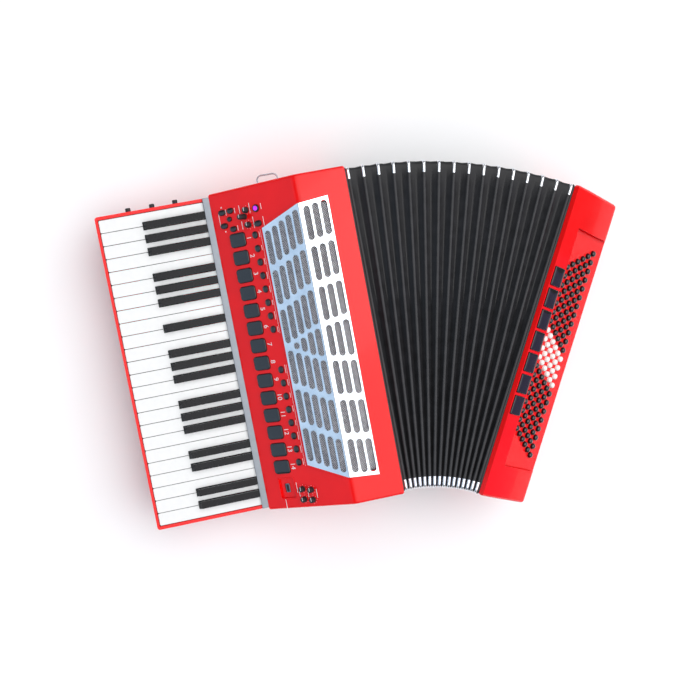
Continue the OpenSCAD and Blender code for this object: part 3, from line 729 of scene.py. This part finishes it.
def labels():
    """Printed marks: word-length bars, two long lines, arrows, dial ticks and the register numbers."""
    shapes = []
    for y in MEMORY_YS:
        flat_label(shapes, 76.6 * MM, y + rng.uniform(-1, 1) * MM, 0.8 * MM, rng.uniform(7, 13) * MM)
    for top, bottom in ((178, 22), (-26, -181)):
        flat_label(shapes, 79.3 * MM, (top + bottom) / 2 * MM, 0.35 * MM, (top - bottom) * MM)
    for s, y, length in BARS:
        flat_label(shapes, s * MM, y * MM, 0.9 * MM, length * MM)
    triangle_label(shapes, 19 * MM, 221.5 * MM, 1.6 * MM, 1)
    triangle_label(shapes, 19 * MM, 185 * MM, 1.6 * MM, -1)
    bar = cap_solid(1.1 * MM, 0.35 * MM, 0.05 * MM, 0.0, PRINT_THICK, 0.02 * MM, 0.0, 1)
    tick = pattern_shape("dial_tick", *bar)
    dial = laid_out(DIAL_TICKS, {"Ticks": 7, "Sweep": 4.5, "Radius": 6.2 * MM, "Tick": tick,
                                 "Finish": LABEL})
    bpy.data.objects.remove(tick)
    shapes += [(*shape_of(dial), on_slope(s * MM, y * MM)) for s, y in LEVELS]
    verts, faces = merge(shapes)
    piece("printed_marks", verts, faces, LABEL, "treble", "white_gloss", smooth=False)
    for i, y in enumerate(REGISTER_YS, 1):
        number(i, on_slope(57.2 * MM, y) @ Matrix.Rotation(-math.pi / 2, 4, "Z"), 11 * MM)


def number(value, matrix, size):
    """A register number as a thin raised print."""
    curve = bpy.data.curves.new(f"number_{value}", "FONT")
    curve.body = str(value)
    curve.size = size
    curve.align_x = "CENTER"
    curve.align_y = "CENTER"
    curve.extrude = 0.04 * MM
    text = new_object(f"number_{value}_text", curve)
    bpy.context.view_layer.update()
    mesh = bpy.data.meshes.new_from_object(text.evaluated_get(bpy.context.evaluated_depsgraph_get()))
    bpy.data.objects.remove(text)
    mesh.transform(matrix @ Matrix.Translation((0, 0, 0.05 * MM)))
    mesh.materials.clear()
    mesh.materials.append(LABEL)
    obj = new_object(f"register_number_{value}", mesh)
    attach(obj, "treble")


# ---- Bellows ----
CORNER_STEPS = 6


def bellows_path(corner=7 * MM, long_count=26, short_count=9):
    """Points and inward normals round the bellows' section, as (y, z, ny, nz, corner distance)."""
    half_y, half_z = BELLOWS_LEN / 2, (BELLOWS_HIGH - BELLOWS_LOW) / 2
    mid_z = (BELLOWS_HIGH + BELLOWS_LOW) / 2
    raw = []
    corners = ((half_y, half_z), (-half_y, half_z), (-half_y, -half_z), (half_y, -half_z))
    for quarter, (corner_y, corner_z) in enumerate(corners):
        centre_y = corner_y - math.copysign(corner, corner_y)
        centre_z = corner_z - math.copysign(corner, corner_z)
        for i in range(CORNER_STEPS + 1):
            angle = math.pi / 2 * (quarter + i / CORNER_STEPS)
            raw.append((centre_y + corner * math.cos(angle), centre_z + corner * math.sin(angle),
                        -math.cos(angle), -math.sin(angle), 0.0))
        on_long_side = quarter in (0, 2)
        straight = 2 * (half_y if on_long_side else half_z) - 2 * corner
        count = long_count if on_long_side else short_count
        ny, nz = -math.cos(math.pi / 2 * (quarter + 1)), -math.sin(math.pi / 2 * (quarter + 1))
        start_y, start_z = raw[-1][:2]
        for i in range(1, count):
            distance = straight * (0.5 - 0.5 * math.cos(math.pi * i / count))
            raw.append((start_y + nz * distance, start_z - ny * distance, ny, nz,
                        min(distance, straight - distance)))
    return [(y + BELLOWS_LEN / 2, z + mid_z, ny, nz, gap) for y, z, ny, nz, gap in raw]


PATH = bellows_path()


def tube_faces(count, rings, closed=True):
    """Quads between rings of count points; closed joins the last ring to the first."""
    faces = []
    for i in range(rings if closed else rings - 1):
        a, b = i * count, ((i + 1) % rings) * count
        faces += [(a + k, a + (k + 1) % count, b + (k + 1) % count, b + k) for k in range(count)]
    return faces


def sweep(profile, frame_matrix, path=PATH, closed=True):
    """A closed section of (u, depth) points carried round the path."""
    verts = []
    for y, z, ny, nz, _ in path:
        verts += [frame_matrix @ Vector((u, y + ny * d, z + nz * d)) for u, d in profile]
    count, rings = len(profile), len(path)
    faces = tube_faces(count, rings, closed)
    if not closed:
        faces.append(tuple(range(count)))
        faces.append(tuple(reversed(range((rings - 1) * count, rings * count))))
    return verts, faces


def ridge_profile(lift=0.0, foot=7 * MM):
    """Section of a ridge's rounded outer edge; lift thickens it and foot is its depth."""
    half = RIDGE_THICK / 2 + lift * 0.5
    crown, steps = 1.5 * MM, 8
    points = []
    for i in range(steps + 1):
        angle = math.pi * i / steps
        points.append((-half * math.cos(angle), crown * (1 - math.sin(angle)) - lift))
    return [(-half, foot)] + points + [(half, foot)]


def corner_paths(reach=11 * MM):
    """Stretches of the path round each corner, reaching a little along both sides."""
    count = len(PATH)
    starts = [i for i in range(count) if PATH[i][4] == 0.0 and PATH[i - 1][4] > 0.0]
    result = []
    for start in starts:
        arc = [PATH[(start + i) % count] for i in range(CORNER_STEPS + 1)]
        y0, z0, ny0, nz0, _ = arc[0]
        y1, z1, ny1, nz1, _ = arc[-1]
        before = (y0 - nz0 * reach, z0 + ny0 * reach, ny0, nz0, 0.0)
        after = (y1 + nz1 * reach, z1 - ny1 * reach, ny1, nz1, 0.0)
        result.append([before] + arc + [after])
    return result


def ridges():
    """The taped edge and the four corner clips of every ridge."""
    clips = corner_paths()
    for k in range(1, RIDGE_COUNT + 1):
        place = ridge_frame(k)
        verts, faces = sweep(ridge_profile(), place)
        obj = piece(f"ridge_tape_{k}", verts, faces, RIDGE_CLOTH, ridge_body(k), "bellows_edge", sharp=60)
        if 1 < k < RIDGE_COUNT:
            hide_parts(f"ridge_{k}")
        metal = ridge_profile(0.35 * MM, 2.6 * MM)
        verts, faces = merge([(*sweep(metal, place, path, False), Matrix.Identity(4)) for path in clips])
        piece(f"ridge_clips_{k}", verts, faces, CLIP, ridge_body(k), "chrome", sharp=50)


def end_frames():
    """The flat frames that hold the bellows on both cases."""
    half, offset = 1.5 * MM, 3.55 * MM
    board = [(-half, 12 * MM), (-half, 0.8 * MM), (-half + 0.5 * MM, 0.3 * MM),
             (half - 0.5 * MM, 0.3 * MM), (half, 0.8 * MM), (half, 12 * MM)]
    for name, node, k, side in (("treble_frame_board", "treble_bellows_frame", 1, -1),
                                ("bass_frame_board", "bass_bellows_frame", RIDGE_COUNT, 1)):
        place = ridge_frame(k) @ Matrix.Translation((side * offset, 0, 0))
        verts, faces = sweep(board, place)
        obj = piece(name, verts, faces, BLACK_MATTE, ridge_body(k), "bellows_edge")
        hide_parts(node)


def fold_depth(t, corner_distance):
    """Depth of the fold at share t between two ridges, shallow at the corner gussets."""
    valley = (1 - abs(2 * t - 1)) ** 0.85
    open_share = min(1.0, corner_distance / (26 * MM))
    open_share = open_share * open_share * (3 - 2 * open_share)
    return 1.4 * MM + valley * (0.9 * MM + 4.2 * MM * open_share)


def folds():
    """The thin cloth between each two ridges: two skins, creased, and shallow at the corners."""
    steps = 10
    thick, crease_depth = 1.1 * MM, 0.25 * MM
    edge = RIDGE_THICK / 2 - 0.15 * MM
    count = 2 * (steps + 1)
    for j in range(1, RIDGE_COUNT):
        left, right = ridge_frame(j), ridge_frame(j + 1)
        verts = []
        for y, z, ny, nz, corner in PATH:
            crease = crease_depth * math.sin(y * 290 + j * 1.7) * math.sin(z * 410 + j)
            ring = []
            for i in range(steps + 1):
                t = i / steps
                d = fold_depth(t, corner) + crease * math.sin(math.pi * t)
                a = left @ Vector((edge, y + ny * d, z + nz * d))
                b = right @ Vector((-edge, y + ny * d, z + nz * d))
                ring.append(a.lerp(b, t))
            for i in range(steps, -1, -1):
                t = i / steps
                d = fold_depth(t, corner) + thick
                a = left @ Vector((edge, y + ny * d, z + nz * d))
                b = right @ Vector((-edge, y + ny * d, z + nz * d))
                ring.append(a.lerp(b, t))
            verts += ring
        faces = tube_faces(count, len(PATH))
        obj = piece(f"bellows_fold_cloth_{j}", verts, faces, FOLD_CLOTH, None, "bellows_cloth", sharp=70)
        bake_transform(obj)
    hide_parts("bellows_folds")


# ---- Bass side ----
def bass_case_edge(edge):
    """Tests for an edge of the bass case's end outlines, or a long one at the outer side of its face."""
    inverse = BASS.inverted()
    a, b = inverse @ edge.verts[0].co, inverse @ edge.verts[1].co
    half = 243 * MM
    at_face = min(a.z, b.z) > 100 * MM and min(a.x, b.x) > 84 * MM
    long_run = abs(a.y - b.y) > 50 * MM
    return on_end_plane(a, b, half, -half) or at_face and long_run


def bass_shells():
    """The bass side's rounded case, cover, feet, brackets and hand strap."""
    bevelled("bass_case", RED, 0.5 * MM, "bass", 5 * MM, bass_case_edge)
    bevelled("bass_back_cover", BLACK_MATTE, 0.6 * MM, "bass")
    bevelled("bass_feet", RUBBER, 1.2 * MM, "bass")
    bevelled("strap_brackets", STEEL, 0.8 * MM, "bass")
    bevelled("bass_strap", STRAP_LEATHER, 0.9 * MM, "bass")


def bass_caps():
    """Bass registers and the domed bass buttons, with a slanted band of white ones."""
    slope = math.dist(*BASS_SLOPE)
    register = cap_solid(22 * MM, 29 * MM, 2 * MM, -3.5 * MM, 2.0 * MM, 1.0 * MM, 0.5 * MM)
    cap_rows("bass_register_caps", "bass_registers", "bass_register_group", "black_gloss", BLACK_GLOSS,
             register,
             [(bass_slope(BASS_SLOPE, slope / 2, 2.7 * MM),
               {"First Row": 7, "Pitch": BASS_REGISTER_PITCH})])
    dome = revolve([(4.0 * MM, -4 * MM), (4.4 * MM, -3.6 * MM), (4.4 * MM, 2.8 * MM), (3.7 * MM, 3.9 * MM),
                    (2.4 * MM, 4.7 * MM), (0.8 * MM, 5.05 * MM)], 14)
    field = bass_slope(FIELD_SLOPE, 9 * MM, -3.7 * MM, -FIELD_DEPTH)
    rows = {"Rows": 6, "First Row": 19, "Growth": 1, "Pitch": BASS_PITCH, "Row Pitch": BASS_ROW_PITCH,
            "Band From": 8, "Band To": 11}
    cap_rows("bass_button_caps", "bass_buttons", "bass_button_group", "black_gloss", BLACK_GLOSS, dome,
             [(field, rows)])
    cap_rows("bass_marker_caps", None, "bass_button_group", "white_gloss", MARKER_WHITE, dome,
             [(field, {**rows, "Band Only": 1.0})])


def strap_stitches():
    """Two seams of thread along the hand strap, 4 mm in from its edges."""
    lean = math.atan2(CHAMFER_RISE, CHAMFER_RUN)
    out = Vector((math.sin(lean), 0, -math.cos(lean)))
    middle = CHAMFER_MIDDLE + out * STRAP_TOP
    across = Vector((math.cos(lean), 0, math.sin(lean)))
    turn = Matrix((across, Vector((0, -1, 0)), out)).transposed().to_4x4()
    place = BASS @ Matrix.Translation(middle) @ turn
    stitch = cap_solid(0.7 * MM, 3.4 * MM, 0.3 * MM, -0.3 * MM, 0.35 * MM, 0.25 * MM, 0.0, 2)
    seam = 13 * MM
    cap_rows("strap_stitches", None, "bass", "strap_leather", THREAD, stitch,
             [(place @ Matrix.Translation((-seam, 0, 0)),
               {"Rows": 2, "Row Pitch": 2 * seam, "First Row": 70, "Pitch": 4.8 * MM})])


def inner_parts():
    """Finishes for the carried-over parts inside the cases."""
    for node, mat in (("key_axle", STEEL), ("key_contact_board", BOARD), ("main_board", BOARD),
                      ("treble_speakers", FELT), ("battery_pack", BLACK_MATTE)):
        dress(node, mat)


# ---- Stage, lights and camera ----
def area_light(name, place, aim, size, watts, colour="#FFFFFF"):
    """A softbox that lights the scene but isn't seen itself."""
    light = bpy.data.lights.new(name, "AREA")
    light.shape = "RECTANGLE"
    light.size, light.size_y = size
    light.energy = watts
    light.color = linear(colour)[:3]
    obj = new_object(name, light)
    obj.location = place
    obj.rotation_euler = (Vector(aim) - Vector(place)).to_track_quat("-Z", "Y").to_euler()
    obj.visible_camera = False


def studio():
    """A soft studio: a broad pale ceiling light leaning to the right, and three softboxes."""
    world = bpy.data.worlds.new("soft_studio")
    world.use_nodes = True
    tree = world.node_tree
    direction = add(tree, "ShaderNodeTexCoord").outputs["Generated"]
    axis, outer, inner = Vector((0.39, 0.05, 0.92)).normalized(), math.radians(54), math.radians(32)
    dot = add(tree, "ShaderNodeVectorMath", {0: direction, 1: axis}, operation="DOT_PRODUCT")
    edge = {"Value": dot.outputs["Value"], "From Min": math.cos(outer), "From Max": math.cos(inner)}
    ceiling = add(tree, "ShaderNodeMapRange", edge, interpolation_type="SMOOTHSTEP")
    room, lamp = [0.2, 0.2, 0.21, 1], [2.1, 2.1, 2.11, 1]
    sky = add(tree, "ShaderNodeMix", {0: ceiling.outputs["Result"], 6: room, 7: lamp}, data_type="RGBA")
    tree.links.new(sky.outputs[2], tree.nodes["Background"].inputs["Color"])
    bpy.context.scene.world = world
    area_light("front_softbox", (0.36, 0.2, 1.9), (0.0, 0.0, 0.1), (0.5, 1.36), 2.5)
    area_light("left_blue_softbox", (-2.7, -0.15, 1.35), (0.0, 0.0, 0.1), (2.3, 2.6), 17, "#B6D5F3")
    area_light("right_violet_softbox", (2.4, -1.5, 1.0), (0.2, 0.0, 0.1), (1.5, 1.8), 3.4, "#A78FF0")


def stage():
    """A wide pale floor and the studio lights."""
    mat = surface("pale_floor_paint", "#F8F8F8", "#FCFCFC", (0.85, 0.95), 400, 3, 0.01)
    half = 60.0
    mesh = bpy.data.meshes.new("floor")
    corners = [(-half, -half, 0), (half, -half, 0), (half, half, 0), (-half, half, 0)]
    mesh.from_pydata(corners, [], [(0, 1, 2, 3)])
    mesh.materials.append(mat)
    floor = new_object("floor", mesh)
    studio()
    bpy.context.scene.view_settings.view_transform = "Standard"


def camera():
    """Looks down on the front, from a little to the keyboard side and the chin end, and rolled."""
    target = Vector((-0.030, -0.027, 0.095))
    yaw, tilt, roll = math.radians(6.3), math.radians(4.6), math.radians(-10.6)
    distance = 1.66
    away = Vector((-math.sin(yaw) * math.cos(tilt), math.sin(tilt), math.cos(yaw) * math.cos(tilt)))
    right = Vector((0, 1, 0)).cross(away).normalized()
    up = away.cross(right)
    x_axis = right * math.cos(roll) + up * math.sin(roll)
    y_axis = up * math.cos(roll) - right * math.sin(roll)
    turn = Matrix((x_axis, y_axis, away)).transposed().to_4x4()
    data = bpy.data.cameras.new("camera")
    data.sensor_width = 36
    data.lens = 55.13143
    data.dof.use_dof = False
    obj = new_object("camera", data)
    obj.matrix_world = Matrix.Translation(target + away * distance) @ turn
    bpy.context.scene.camera = obj


camera()
stage()
treble_shells()
keys()
grille()
treble_buttons()
end_caps()
knobs()
labels()
ridges()
end_frames()
folds()
bass_shells()
bass_caps()
strap_stitches()
inner_parts()
